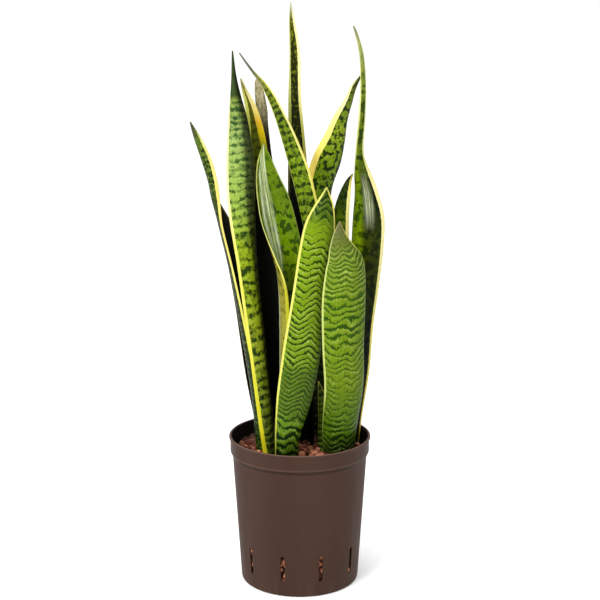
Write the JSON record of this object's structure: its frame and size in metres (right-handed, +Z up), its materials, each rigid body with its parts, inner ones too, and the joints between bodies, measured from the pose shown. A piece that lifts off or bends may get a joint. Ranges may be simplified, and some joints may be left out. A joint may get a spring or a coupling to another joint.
{
  "type": "potted snake plant",
  "caption": "Tall snake plant with stiff upright cross-banded, yellow-edged leaves rising from clay granules in a round slotted culture pot.",
  "frame": {"origin": "centre of the pot's base, on the surface that it stands on", "axes": "+Z up along the pot's axis; the picture is taken from -Y, and +X is its right-hand side"},
  "size_m": [0.2398, 0.18, 0.7271],
  "materials": {
    "pot": "satin brown injection-moulded plastic",
    "granules": "matt fired clay",
    "rhizome": "matt fibrous plant tissue",
    "leaf": "smooth waxy leaf, cross-banded in greens with yellow margins"
  },
  "bodies": {
    "root": {"culture_pot": "pot", "clay_granules": "granules", "rhizome": "rhizome", "leaf_front_centre": "leaf", "leaf_front_right": "leaf", "leaf_left_tall": "leaf", "leaf_far_left": "leaf", "leaf_left_short": "leaf", "leaf_left_back": "leaf", "leaf_dried_tip": "leaf", "leaf_centre_left": "leaf", "leaf_centre_tall": "leaf", "leaf_leaning_left": "leaf", "leaf_leaning_right": "leaf", "leaf_right_tall": "leaf", "leaf_right_short": "leaf", "leaf_basal": "leaf"}
  },
  "joints": []
}
